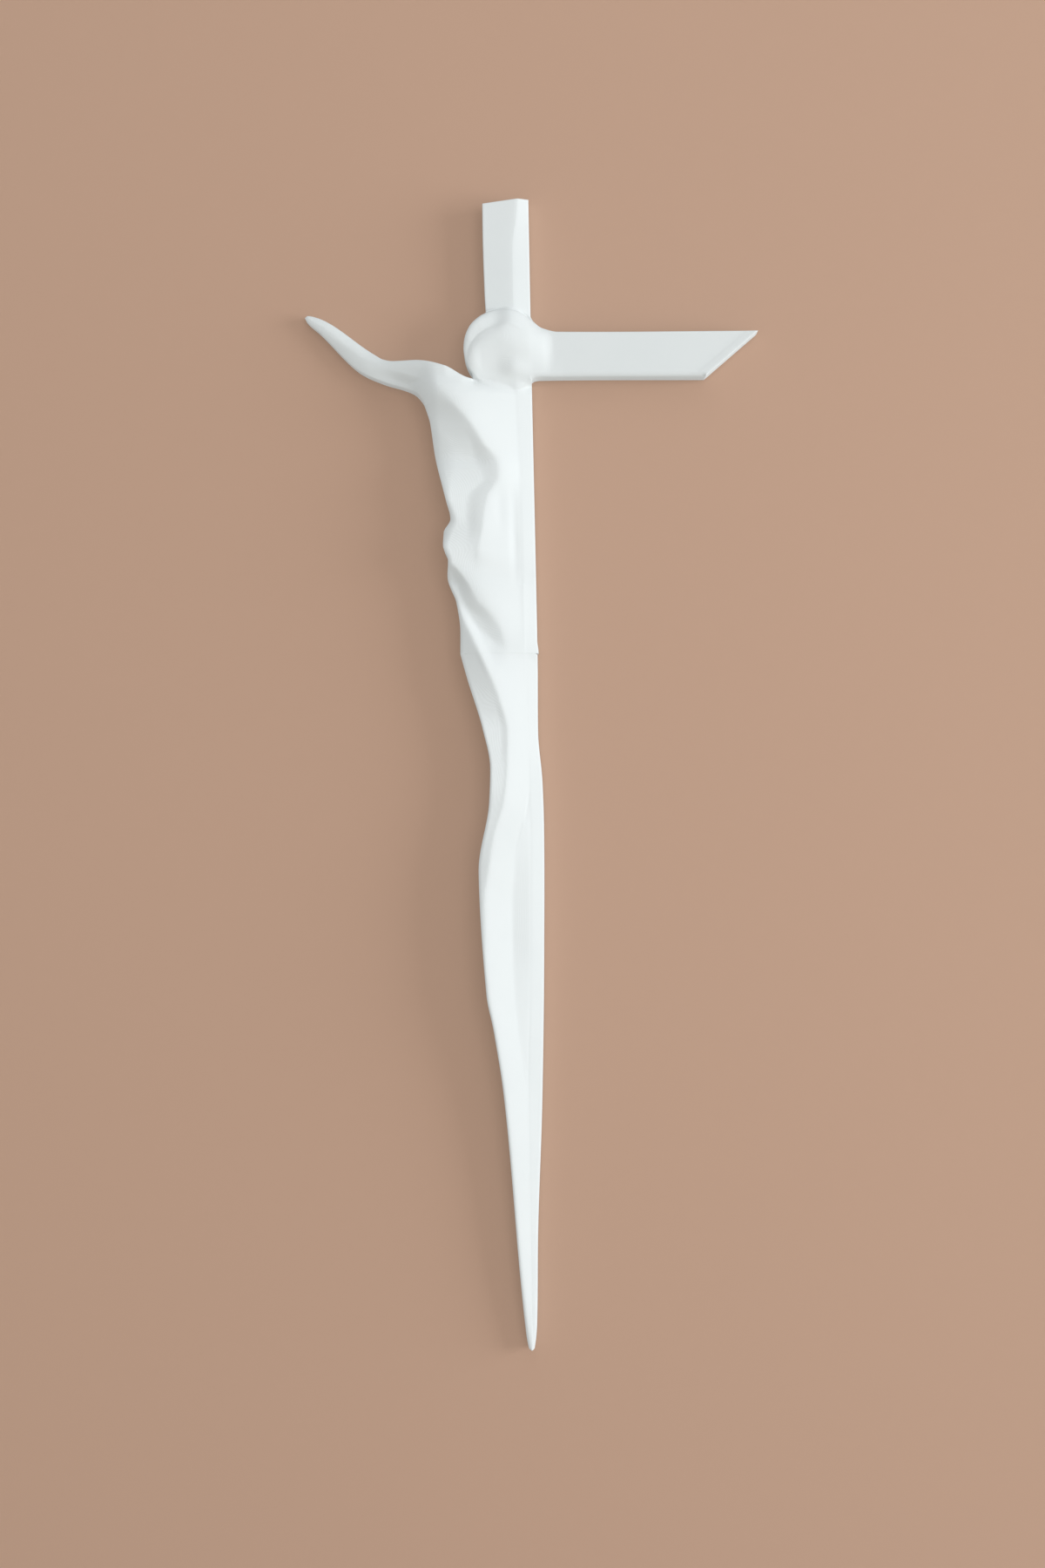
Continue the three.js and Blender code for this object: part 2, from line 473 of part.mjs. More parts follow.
function makeUpper() {
  const column = (rows, k) => ({ columns: COLUMN_CELLS, rows, at: (u, v) => columnPoint(u, k, v) });
  const fronts = COLUMN_ROWS.map(column);
  fronts.push({ columns: BAR_CELLS, rows: COLUMN_ROWS[2], at: barPoint });
  fronts.push({ columns: ARM_CELLS, rows: COLUMN_ROWS[1], at: armPoint });
  const [torsoRows, shoulderRows, headRows, stemRows] = COLUMN_ROWS;
  const rim = [
    ...rimRun(COLUMN_CELLS, (t) => columnPoint(t, 0, 0), EDGES.joint),
    ...rimRun(torsoRows, (t) => columnPoint(1, 0, t), EDGES.right),
    ...rimRun(shoulderRows, (t) => columnPoint(1, 1, t), EDGES.right),
    ...rimRun(BAR_CELLS, (t) => barPoint(t, 0), EDGES.barLow),
    ...rimRun(headRows, (t) => barPoint(1, t), EDGES.bar),
    ...rimRun(BAR_CELLS, (t) => barPoint(1 - t, 1), EDGES.bar),
    ...rimRun(stemRows, (t) => columnPoint(1, 3, t), EDGES.right),
    ...rimRun(COLUMN_CELLS, (t) => columnPoint(1 - t, 3, 1), EDGES.bar),
    ...rimRun(stemRows, (t) => columnPoint(0, 3, 1 - t), EDGES.bar),
    ...rimRun(headRows, (t) => columnPoint(0, 2, 1 - t), EDGES.head),
    ...rimRun(ARM_CELLS, (t) => armPoint(1 - t, 1), EDGES.armTop),
    ...rimRun(ARM_CELLS, (t) => armPoint(t, 0), EDGES.armLow),
    ...rimRun(torsoRows, (t) => columnPoint(0, 0, 1 - t), EDGES.torso),
  ];
  return solid('upper_section', fronts, upperBack(), rim);
}

function legRow(v) {
  const bend = FOOT.z + FOOT_LENGTH;
  const share = FOOT_ROWS / (LEG_ROWS + FOOT_ROWS);
  if (v < share) return lerp(FOOT.z, bend, 1 - Math.cos(((v / share) * Math.PI) / 2));
  return lerp(bend, SEAM - SEAM_GAP, (v - share) / (1 - share));
}

function legPoint(u, v) {
  const z = legRow(v);
  return [lerp(legsLeft(z), bodyRight(z), across(u, LEG_CELLS, LEG_EDGE)), z];
}

function makeLower() {
  const rows = LEG_ROWS + FOOT_ROWS;
  const rim = [
    ...rimRun(rows, (t) => legPoint(1, t), EDGES.legRight),
    ...rimRun(LEG_CELLS, (t) => legPoint(1 - t, 1), EDGES.joint),
    ...rimRun(rows, (t) => legPoint(0, 1 - t), EDGES.legLeft),
  ];
  const lastRow = 1 - 1 / rows;
  const backs = [
    { columns: 1, rows: rows - 1, at: (u, v) => legPoint(u, lerp(0, lastRow, v)) },
    { columns: LEG_CELLS, rows: 1, at: (u, v) => (v ? legPoint(u, 1) : legPoint(Math.round(u), lastRow)) },
  ];
  return solid('lower_section', [{ columns: LEG_CELLS, rows, at: legPoint }], backs, rim);
}

const crucifix = new THREE.Group();
crucifix.add(makeUpper(), makeLower());

export default crucifix;
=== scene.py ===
# A wall crucifix in matt white plastic: two printed pieces, one half of the outline a plain chamfered cross
# and the other half the hanging figure. The flat back lies in y = 0 against the wall, the front faces -Y.
import math

import bmesh
import bpy
import numpy as np
from mathutils import Matrix, Vector


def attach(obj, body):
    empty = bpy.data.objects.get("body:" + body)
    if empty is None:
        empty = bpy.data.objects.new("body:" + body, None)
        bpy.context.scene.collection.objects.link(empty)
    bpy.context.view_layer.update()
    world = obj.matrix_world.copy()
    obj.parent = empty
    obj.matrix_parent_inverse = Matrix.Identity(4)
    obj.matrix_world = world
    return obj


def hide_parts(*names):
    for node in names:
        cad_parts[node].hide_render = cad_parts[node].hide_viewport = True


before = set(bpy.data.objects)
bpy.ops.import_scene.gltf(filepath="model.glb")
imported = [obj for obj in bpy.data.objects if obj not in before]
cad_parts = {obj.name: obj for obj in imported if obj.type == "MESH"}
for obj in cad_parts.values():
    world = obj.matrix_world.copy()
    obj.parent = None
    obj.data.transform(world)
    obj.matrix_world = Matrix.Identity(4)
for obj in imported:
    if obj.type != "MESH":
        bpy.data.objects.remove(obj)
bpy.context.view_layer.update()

MM = 0.001

# The cross, in millimetres
BEAM_DEPTH = 10.0
STEM_RIGHT = 9.1
STEM_TOP = 66.0
TOP_SLANT = 0.13
BAR_END = 84.4
BAR_TIP = 107.5
BAR_SLOPE = 0.0135
END_LIP = 0.35
EDGE_DROP = 2.8
END_ACROSS, END_DOWN = 19.0, 23.0

# The joint between the two prints, the flared corner and the nick at its right end, and the point at the foot
SEAM = -131.0
SHOWN_GAP = 0.02
CORNER_FLARE = 0.45
FLARE_TOP, FLARE_FOOT = -125.5, -130.5
NICK = 0.5
NICK_START, NICK_END = 8.5, 9.2
NICK_FADE = 3.0
FOOT_Z = -434.0

# The figure's landmarks, as (x, z)
ARMPIT = (-37.1, -24.0)
NOTCH = (-16.3, -12.3)
HAND = (-89.2, 17.2)
HOOD = (-2.5, 0.6)
HOOD_RADIUS = 17.6
HOOD_FOOT = 16.4
BALL = (-3.5, -5.5)
BALL_RADIUS = 16.1
CHEEK = (1.2, -7.8)
CHEEK_SIZE = (5, 4)
CHEEK_RISE = 1.2
CORNER = (8.5, -14.8)
CORNER_SIZE = (3, 2.5)
CORNER_DIP = 1.3
FILLET_TOP = 15.2
RIM_LINE = 1.2
RIM_LINE_WIDTH = 0.45
INNER_CORNER = -12.6

# How finely each stretch is meshed
COLUMN_ROWS = (210, 44, 70, 60)
COLUMN_CELLS = 84
BAR_CELLS = 120
ARM_CELLS = 110
LEG_ROWS = 470
FOOT_ROWS = 14
FOOT_LENGTH = 9.0
LEG_CELLS = 60
EDGE_STEPS = (0.0, 0.12, 0.3, 0.6, 1.0, 1.5)
NEAREST_BATCH = 2000
WELD = 0.002 * MM

# The view and the light, in metres
LENS = 50
CAMERA_PLACE = (0.0018, -0.9525, -0.1875)
CAMERA_ROLL = math.radians(1.08)
WALL_PLACE = 0.001
WALL_COLOR = (0.57, 0.365, 0.265)
FLOOR_PLACE = -0.62
FLOOR_COLOR = (0.75, 0.72, 0.68)
AIM = (0, 0, -0.18)
PANEL_SIZE = (1.4, 1.4)
KEY_PLACE = (2.09, -0.68, -0.22)
KEY_POWER = 33
KEY_TINT = (0.96, 1.0, 1.03)
FRONT_PLACE = (0.38, -2.17, -0.18)
FRONT_POWER = 9
TOP_PLACE = (0, -1.26, 1.62)
TOP_POWER = 3
AMBIENT = 0.555
AMBIENT_TINT = (0.97, 1.0, 1.0)


def run(knots):
    """A smooth run through (place, value) knots that never overshoots between two of them."""
    places, values = np.array(knots, dtype=float).T
    spans = np.diff(places)
    rises = np.diff(values) / spans
    same = rises[:-1] * rises[1:] > 0
    total = np.where(same, rises[:-1] + rises[1:], 1)
    inner = np.where(same, 2 * rises[:-1] * rises[1:] / total, 0)
    slopes = np.concatenate([rises[:1], inner, rises[-1:]])

    def value(at):
        at = np.clip(at, places[0], places[-1])
        i = np.clip(np.searchsorted(places, at, side="right") - 1, 0, len(spans) - 1)
        t = (at - places[i]) / spans[i]
        start = (2 * t ** 3 - 3 * t ** 2 + 1) * values[i] + (t ** 3 - 2 * t ** 2 + t) * spans[i] * slopes[i]
        end = (3 * t ** 2 - 2 * t ** 3) * values[i + 1] + (t ** 3 - t ** 2) * spans[i] * slopes[i + 1]
        return start + end

    return value


def higher(a, b, blend):
    """The higher of two heights, with a rounded join where they are close."""
    near = np.maximum(blend - np.abs(a - b), 0) / blend
    return np.maximum(a, b) + near * near * blend / 4


def above(value, blend):
    return higher(value, value * 0, blend)


def fade(at, start, end):
    """0 at start and 1 at end, in either direction."""
    t = np.clip((at - start) / (end - start), 0, 1)
    return t * t * (3 - 2 * t)


def lerp(a, b, t):
    return a + (b - a) * t


def roof(offset, left_slope, right_slope, radius):
    """How far a rounded crest has fallen at an offset to its left (negative) or right (positive)."""
    mean, lean = (left_slope + right_slope) / 2, (right_slope - left_slope) / 2
    return mean * (np.hypot(offset, radius) - radius) + lean * offset


def round_in(distance, radius):
    """0 at an edge, rising as a quarter circle to 1 a radius inside it."""
    return np.sqrt(1 - (1 - np.clip(distance / radius, 0, 1)) ** 2)


def bump(x, z, centre, size):
    return np.exp(-((x - centre[0]) / size[0]) ** 2 - ((z - centre[1]) / size[1]) ** 2)


def groove(offset, width):
    return np.exp(-(offset / width) ** 2)


def hood_left(z):
    return HOOD[0] - np.sqrt(np.maximum(HOOD_RADIUS ** 2 - (z - HOOD[1]) ** 2, 0))


# Outline runs: x along z for the upright's sides, z along x for the arms' edges
torso_left = run([(-131, -24), (-121, -23.8), (-109, -25.2), (-97.5, -28.9), (-91, -28.4), (-84.5, -30.4),
                  (-78.5, -30.1), (-73, -27.1), (-63.6, -29.2), (-45.4, -33.3), (-30.2, -35.3),
                  (-24, -37.1)])
legs_left = run([(-434, 1.3), (-433, 0), (-422, -1.5), (-323, -8.7), (-293, -12.7), (-278, -15.4),
                 (-225, -17.8), (-195, -12.7), (-180, -12), (-164, -14.8), (-141.7, -21.2), (-131, -24)])
body_right = run([(-434, 1.3), (-433, 2.5), (-422, 3.8), (-384, 4.9), (-324, 7.9), (-263, 9.8),
                  (-203, 10.8), (-187, 10.5), (-165, 9), (-131, 9.4), (INNER_CORNER, STEM_RIGHT)])
head_left = run([(-12.3, -16.3), (-10.5, -16.5), (-8, -17.86)])
stem_left = run([(HOOD_FOOT, hood_left(HOOD_FOOT)), (24, -10.6), (50, -11), (66, -10.9)])
arm_top = run([(-89.2, 17.2), (-88.1, 18.1), (-84.4, 17.3), (-59.7, 0.5), (-55.2, -2.4), (-51, -3.4),
               (-41.6, -3.7), (-28.1, -7.1), (-19.1, -11.8), (-16.3, -12.3)])
arm_low = run([(-89.2, 17.2), (-88.6, 15.9), (-82.9, 10.5), (-64.9, -7.4), (-55.9, -11.7), (-42.5, -16.4),
               (-38.2, -21), (-37.1, -24)])
bar_top = run([(9.1, 15.2), (10.5, 12.7), (14.2, 9.7), (20.6, 8), (BAR_TIP, 8 - BAR_SLOPE * 86.9)])
bar_low = run([(9.1, -12.6), (10.6, -11.7), (13, -11.4), (BAR_END, -11.4 - BAR_SLOPE * 71.4)])

# Carving: where each crest runs, x along z, how high it stands off the wall, and how it falls on its left: a
# low wall of a given width, then ground that leans to the left (positive) or to the right (negative)
ridge = run([(-434, 1.3), (-330, 1.6), (-262.8, 3.9), (-206, 4.8), (-150, 4), (-60, 3.4), (19, 1.7),
             (45, 1.8), (58, 3.6), (66, 4.4)])
stem_height = run([(-434, 5.8), (-421, 6.3), (-395, 6.7), (-357, 7.6), (-320, 8.2), (-293, 9.1),
                   (-250, BEAM_DEPTH)])
stem_drop = run([(-434, 0.9), (-395, 1.6), (-357, 2.4), (-320, 3), (-250, 2.8), (-200, EDGE_DROP)])
chest_crest = run([(-106, -18.5), (-93, -16.8), (-85.7, -15.9), (-78.2, -14), (-70.7, -13), (-63.1, -11.4),
                   (-55.6, -7.3), (-52, -6.9), (-48, -7.6), (-40.5, -12.8), (-33, -17.3), (-25.4, -23.2),
                   (-19.7, -27.6), (-14, -32), (-9, -36)])
chest_height = run([(-106, 18.3), (-85.7, 18.2), (-78.2, 18), (-70.7, 17.6), (-63.1, 16.9), (-55.6, 15.5),
                    (-48, 15.7), (-40.5, 17.8), (-33, 19.8), (-25.4, 20.9), (-19.7, 21.2), (-12, 20)])
chest_ease = run([(-106, 6), (-93, 5), (-85.7, 1.6), (-78, 1), (-70.7, 1), (-63.1, 1.6), (-55.6, 3),
                  (-48, 3), (-40.5, 1.6), (-33, 1.6), (-25.4, 5), (-19, 8)])
chest_wall = run([(-93, 0), (-85.7, 0.15), (-78.2, 0.7), (-70.7, 1.8), (-63.1, 1.6), (-55.6, 0.7),
                  (-52, 0.8), (-48, 1.4), (-40.5, 0.55), (-34, 0)])
chest_wall_width = run([(-78.2, 6), (-70.7, 8), (-63.1, 8.5), (-55.6, 6), (-48, 9), (-40.5, 5)])
chest_lean = run([(-93, -0.2), (-85.7, -0.14), (-78.2, -0.08), (-70.7, -0.22), (-63.1, -0.22),
                  (-55.6, -0.15), (-48, -0.07), (-40.5, 0.09), (-33, 0.26), (-25.4, 0.42), (-15, 0.45)])
hip_crest = run([(-133, -5), (-123.4, -6.2), (-115.9, -9.6), (-108.3, -15.6), (-100.8, -19.8),
                 (-95.6, -23.5), (-86, -32)])
hip_height = run([(-133, 12.5), (-123.4, 14), (-115.9, 15.5), (-108.3, 17.4), (-100.8, 18.2), (-86, 18.6)])
hip_ease = run([(-123.4, 2), (-115.9, 3), (-108.3, 5), (-100.8, 6)])
hip_wall = run([(-131, 0), (-123.4, 0.05), (-115.9, 0.7), (-108.3, 1.5), (-100.8, 2.7), (-95.6, 2.2),
                (-88, 1.2)])
hip_wall_width = run([(-123.4, 6), (-115.9, 6.5), (-108.3, 8), (-100.8, 5.5), (-95.6, 4)])
hip_lean = run([(-116, 0.05), (-101, 0.25)])
leg_crest = run([(-434, 1.3), (-422, -0.7), (-323, -8.1), (-293, -12.1), (-278, -14.6), (-258.9, -15.9),
                 (-236.3, -15.7), (-225, -13.9), (-210, -11.5), (-195, -6.9), (-180, -5.1), (-165, -4.6),
                 (-149.8, -8), (-134.7, -13.9), (-115.9, -22.3), (-98, -30)])
leg_height = run([(-434, 6), (-395, 9.3), (-357, 11.4), (-320, 14), (-293, 16.9), (-274, 18.3),
                  (-247, 18.5), (-225, 17.9), (-195, 15.9), (-180, 15.1), (-165, 14.6), (-150, 16.1),
                  (-134.7, 17.9), (-116, 16), (-98, 15)])
leg_lean = run([(-240, 0.15), (-225, 0.16), (-210, 0.02), (-195, -0.1), (-187, -0.2), (-165, -0.2),
                (-157.3, -0.03), (-149.8, 0.1), (-134.7, 0.36), (-123.4, 0.55), (-116, 0.6)])
leg_wall = run([(-180, 0), (-172.4, 0.3), (-165, 0.3), (-157.3, 0.3), (-149.8, 0.12), (-142.2, 0.1),
                (-134.7, 0.4), (-128, 0)])
LEG_WALL_WIDTH = 2.6
LEG_EASE = 1.0
terrace_start = run([(-320, 1.8), (-293, -1.5), (-280, -2.5), (-262, -3.2), (-240, -3), (-225, -1.8),
                     (-214, -0.5), (-206, 1.6), (-190, 4.4)])
terrace_tilt = run([(-320, 0.5), (-293, 0.4), (-274, 0.35), (-255, 0.25), (-240, 0.26), (-225, 0.3),
                    (-214, 0.38), (-200, 0.45)])
leg_sag = run([(-139, 0), (-134.7, 0.35), (-129, 0.9), (-123.4, 1.3), (-116, 1.1), (-108, 0)])
lens = run([(-103, 0), (-96, 0.2), (-90, 0.35), (-82.4, 0.5), (-77, 0.4), (-66, 0.25), (-58, 0)])
trough = run([(-80, 0), (-71, 0.25), (-65, 0.2), (-58, 0)])
arm_ridge = run([(-89, 16.9), (-84, 12.6), (-74.4, 6), (-68.4, 2), (-60.6, -3.3), (-51, -5.5),
                 (-43.3, -6.6), (-36, -8.5), (-24, -14)])
arm_height = run([(-89.2, 5), (-80, 6.6), (-68, 8), (-56, 10), (-48, 12.2), (-40, 15), (-34, 17.4),
                  (-28, 19.2)])
arm_slope = run([(-89, 0.3), (-77, 0.32), (-68, 0.18), (-58, 0.15), (-50, 0.22), (-42, 0.28), (-36, 0.4)])
arm_rise = run([(-89, 0.15), (-62, 0.2), (-54, 0.1), (-30, 0.05)])
muscle = run([(-60, -7.3), (-55, -8.5), (-50.5, -9.6), (-47.5, -10.5), (-43.8, -11.8), (-40, -13.2),
              (-35, -15.5)])
muscle_step = run([(-64, 0), (-58, 0.5), (-53, 1.3), (-49, 2.4), (-45, 3), (-41, 2.8), (-37, 1.5),
                   (-33, 0.3)])
crown_ridge = run([(-20, -2), (-16, 2), (-12, 5), (-4, 6.5), (4, 5.5), (20, 1.5)])
crown_height = run([(-20, 17.3), (-12, 17.2), (-4, 16.9), (0, 16.4), (4, 15.5), (7.5, 14.5), (10.5, 13.3),
                    (13.5, 12), (16.5, 10.6), (18.5, 10.05), (21, 9.9), (30, 7)])
crown_low = run([(-20, 14.5), (-12, 13.2), (-6, 12.6), (-1, 12.2), (3, 11.9), (6, 11.6), (10, 10.9),
                 (14, 10.35), (18, 10.05), (21, 9.9), (30, 7)])
crown_rim = run([(-20, 16.6), (-16, 16), (-13, 15), (-10.6, 13.8), (-8, 13), (-5, 12.4), (-1, 12.2),
                 (3, 11.4), (6, 9.9), (9.1, 8.3), (12, 9), (15, 9.7), (20, 9.9), (30, 7)])
crown_top = run([(-20.1, 0.6), (-19.4, 5.5), (-17, 10.6), (-13, 14.7), (-8, 17.3), (-2.5, 18.2), (4, 17),
                 (9.1, 14.4), (10.5, 12.7), (14.2, 9.7), (20.6, 8)])
hood_wave = run([(-18, 0.1), (-12, 0.1), (-5, -0.4), (1, 0.4), (6, 0.1), (9, 0)])
chin_line = run([(-17, -12), (-8, -13), (-4, -12.5), (0, -11.5), (4, -11), (9, -11.5), (14, -14)])


def fold(x, crest_x, top, end_x, end, ease, wall, wall_width, lean, left_ease=1.2):
    """A crest that falls on its right to the upright, and on its left by a low wall, then leaning ground."""
    full = np.maximum(end_x - crest_x, 2)
    along = np.maximum(x - crest_x, 0)
    right = (top - end) * (np.hypot(along, ease) - ease) / (np.hypot(full, ease) - ease)
    out = np.maximum(crest_x - x, 0)
    left = wall * fade(out, 0, wall_width) + lean * (np.hypot(out, left_ease) - left_ease)
    return top - right - left


def cross_height(x, z):
    """The upright, chamfered along its right side, and the flat bar."""
    side = np.where(z > INNER_CORNER, STEM_RIGHT, body_right(z))
    chamfer = roof(x - ridge(z), 0, stem_drop(z) / np.maximum(side - ridge(z), 1), 0.8)
    terrace = terrace_tilt(z) * np.clip(ridge(z) - x, 0, np.maximum(ridge(z) - terrace_start(z), 0))
    beyond = fade(z, -34, -26) * above(-16 - x, 4)
    stem = stem_height(z) - chamfer + fade(z, -190, -206) * terrace - beyond
    on_bar = fade(x, 3, 10) * np.maximum(fade(z, 12, 8) * fade(z, -15, -11), fade(x, 11, 16))
    end_length = math.hypot(END_ACROSS, END_DOWN)
    to_end = ((BAR_END - x) * END_ACROSS + (z - INNER_CORNER) * END_DOWN) / end_length
    return lerp(stem, BEAM_DEPTH + END_LIP * fade(to_end, 5, 1), on_bar)


def chest_shape(x, z):
    chest = fold(x, chest_crest(z), chest_height(z), ridge(z), stem_height(z), chest_ease(z),
                 chest_wall(z), chest_wall_width(z), chest_lean(z), 1.2 + 4.8 * fade(z, -27, -15))
    under_head = (14 * fade(z, -12.5, -1) + above(z + 16, 3)) * fade(x, -22, -14)
    return chest - under_head - 0.5 * above(z + 13, 3) - above(-35 - x, 4)


def hip_shape(x, z):
    hip = fold(x, hip_crest(z), hip_height(z), ridge(z), stem_height(z), hip_ease(z),
               hip_wall(z), hip_wall_width(z), hip_lean(z))
    return hip - 6 * fade(z, SEAM, -150)


def leg_shape(x, z):
    end = np.minimum(terrace_start(z), ridge(z))
    crest = leg_crest(z)
    end_height = stem_height(z) + terrace_tilt(z) * (ridge(z) - end) + 0.1
    leg = fold(x, crest, leg_height(z), end, end_height, LEG_EASE, leg_wall(z), LEG_WALL_WIDTH, leg_lean(z))
    sag = leg_sag(z) * fade(x, crest, crest + 5) * fade(x, -3, -11)
    return leg - sag - 0.5 * np.maximum(x - end, 0) - 10 * fade(z, -102, -90)


def body_height(x, z):
    torso = lerp(chest_shape(x, z), hip_shape(x, z), fade(z, -86, -99))
    return higher(torso, leg_shape(x, z), 0.6)


def arm_swell(x, z):
    rod = arm_height(x) - roof(z - arm_ridge(x), arm_slope(x), arm_rise(x), 1.5)
    step = muscle_step(x) * fade(z, muscle(x) + 2, muscle(x) - 2.2)
    return rod - step - 0.42 * above(x + 29, 8) - 2 * fade(x, -18, -10)


def head_height(x, z):
    """A smooth bowed crown under the rim of a hood, with a crescent groove between them."""
    inside = HOOD_RADIUS - np.hypot(x - HOOD[0], z - HOOD[1])
    in_ball = BALL_RADIUS - np.hypot(x - BALL[0], z - BALL[1])
    off = z - crown_ridge(x)
    near_rim = 1 - np.clip(off / np.maximum(crown_top(x) - crown_ridge(x), 1), 0, 1)
    upper = lerp(crown_rim(x), crown_height(x), near_rim * (2 - near_rim))
    dome = lerp(upper, crown_low(x), fade(off, -1, -19)) + CHEEK_RISE * bump(x, z, CHEEK, CHEEK_SIZE)
    hooded = fade(x, -1, -8)
    ball = dome - hooded * (1.6 * (1 - round_in(in_ball, 6.5)) + 4 * np.maximum(-in_ball, 0))
    brim = dome + hood_wave(x) * fade(in_ball, 1, -1) - 0.9 * hooded * fade(in_ball, -5, 0.8)
    hood = brim - 2 * fade(x, 6, -4) * np.maximum(in_ball - 0.5, 0)
    fall = 3 * fade(x, 11, 8) * above(-inside, 0.5) + 0.5 * above(chin_line(x) - z, 2)
    return np.maximum(ball, hood) - fall


def rim_line(x, z):
    """The fine dark line where the hood's rim stands on the upright."""
    inside = HOOD_RADIUS - np.hypot(x - HOOD[0], z - HOOD[1])
    return RIM_LINE * groove(inside, RIM_LINE_WIDTH) * fade(z, 10, 14) * fade(x, 11, 9)


def front_height(x, z):
    """How far the carved front stands off the wall, before its edges are turned over."""
    body = higher(cross_height(x, z), body_height(x, z), 0.3)
    hollows = lens(z) * groove(x - ridge(z) + 3.2, 1.8) + trough(z) * groove(x + 5.8, 2.2)
    figure = higher(body - hollows, arm_swell(x, z), 2)
    near_head = (z > -30) & (x < 30) & (x > -30)
    blend = lerp(0.6, 3, fade(z, 3, -12)) * lerp(1, 0.2, fade(x, 6, 13))
    dip = CORNER_DIP * bump(x, z, CORNER, CORNER_SIZE)
    head = higher(figure, head_height(x, z), blend) - rim_line(x, z) - dip
    return np.where(near_head, head, figure)


# Edges: the radius over which the front turns over, and how far it drops there before the upright wall
RIGHT_EDGE = (0.5, 0.5)
BAR_LOW_EDGE = (2.2, 1.7)
BAR_EDGE = (0.4, 0.4)
JOINT_EDGE = (0.1, 0.04)
JOINT_FAINT = 0.15
CREASE_ANGLE = 38
arm_top_radius = run([(-12, 1.5), (-7, 2.5), (-3.4, 3.5), (0.5, 4.5), (17, 4)])
arm_low_radius = run([(-24, 2), (-20, 2.5), (-15, 3), (-7, 4), (3, 5), (10, 4.5), (17, 3)])
torso_radius = run([(-131, 1.5), (-100, 1.5), (-95, 2), (-89, 2), (-82, 3), (-78, 4.2), (-73, 3.5),
                    (-65, 2.2), (-59, 4), (-53, 7), (-47, 9), (-41, 8), (-34, 4), (-24, 2.5)])
torso_drop = run([(-131, 1.5), (-95, 1.6), (-84, 1.6), (-78, 3.8), (-73, 2.8), (-65, 1.5), (-59, 1.8),
                  (-53, 2.4), (-47, 3), (-41, 2.5), (-34, 1.2), (-24, 0.9)])
leg_left_radius = run([(-434, 1.2), (-395, 0.7), (-320, 0.7), (-255, 0.8), (-225, 1.2), (-165, 1),
                       (-131, 1.2)])
leg_right_radius = run([(-434, 1.2), (-395, 0.7), (-300, 0.5), (-131, 0.5)])


def arm_top_edge(z):
    return arm_top_radius(z), 0.4 * arm_top_radius(z)


def arm_low_edge(z):
    return arm_low_radius(z), 0.22 * arm_low_radius(z)


def head_edge(z):
    turn = lerp(4.5, 2.5, fade(z, 2, 7))
    return turn, 0.35 * turn


def torso_edge(z):
    return torso_radius(z), torso_drop(z)


def leg_edge(radius, z):
    half = (body_right(z) - legs_left(z)) / 2
    turn = np.maximum(np.minimum(radius(z), half), 0.3)
    return turn, turn


def dressed_height(x, z, rim):
    """The front's height, turned over towards the nearest of the rim's rows of (x, z, radius, drop)."""
    starts = rim[:, :2]
    runs = np.roll(starts, -1, axis=0) - starts
    lengths = np.maximum((runs ** 2).sum(axis=1), 1e-12)
    nearest = np.empty(len(x), dtype=int)
    distance = np.empty(len(x))
    for first in range(0, len(x), NEAREST_BATCH):
        part = slice(first, first + NEAREST_BATCH)
        dx = x[part, None] - starts[:, 0]
        dz = z[part, None] - starts[:, 1]
        along = np.clip((dx * runs[:, 0] + dz * runs[:, 1]) / lengths, 0, 1)
        away = np.hypot(dx - along * runs[:, 0], dz - along * runs[:, 1])
        nearest[part] = away.argmin(axis=1)
        distance[part] = away.min(axis=1)
    return front_height(x, z) - rim[nearest, 3] * (1 - round_in(distance, rim[nearest, 2]))


def crowd(t, cells, length):
    """Even shares t of a length as shares that are crowded towards both ends, for the turned-over edges."""
    ends = np.array(EDGE_STEPS)
    last = len(ends) - 1
    cell = np.rint(t * cells)
    middle = ends[-1] + (cell - last) / (cells - 2 * last) * (length - 2 * ends[-1])
    near = np.interp(cell, np.arange(last + 1), ends)
    far = length - np.interp(cells - cell, np.arange(last + 1), ends)
    return np.where(cell < last, near, np.where(cell > cells - last, far, middle)) / length


def top_edge(x):
    return STEM_TOP + np.minimum(x - ridge(STEM_TOP), 0) * TOP_SLANT


def top_bow(x):
    left = stem_left(STEM_TOP)
    return top_edge(x) - lerp(top_edge(left), STEM_TOP, (x - left) / (STEM_RIGHT - left))


def hood_bow(x):
    left = hood_left(HOOD_FOOT)
    x = np.maximum(x, left)
    level = lerp(HOOD_FOOT, FILLET_TOP, (x - left) / (STEM_RIGHT - left))
    arc = HOOD[1] + np.sqrt(np.maximum(HOOD_RADIUS ** 2 - (x - HOOD[0]) ** 2, 0))
    return fade(x, STEM_RIGHT, 3) * (arc - level)


def no_bow(x):
    return x * 0


# The upright of the upper piece runs between guide rows: (left z, right z, how the row bows between them)
GUIDES = (
    (SEAM, SEAM, no_bow),
    (ARMPIT[1], ARMPIT[1], no_bow),
    (NOTCH[1], INNER_CORNER, no_bow),
    (HOOD_FOOT, FILLET_TOP, hood_bow),
    (top_edge(stem_left(STEM_TOP)), STEM_TOP, top_bow),
)
ROW_LENGTHS = (107.0, 23.9, 19.4, 49.8)


def shoulder_line(z):
    return lerp(ARMPIT[0], NOTCH[0], (z - ARMPIT[1]) / (NOTCH[1] - ARMPIT[1]))


def head_side(z):
    return np.where(z < -8, head_left(z), hood_left(z))


COLUMN_LEFT = (torso_left, shoulder_line, head_side, stem_left)


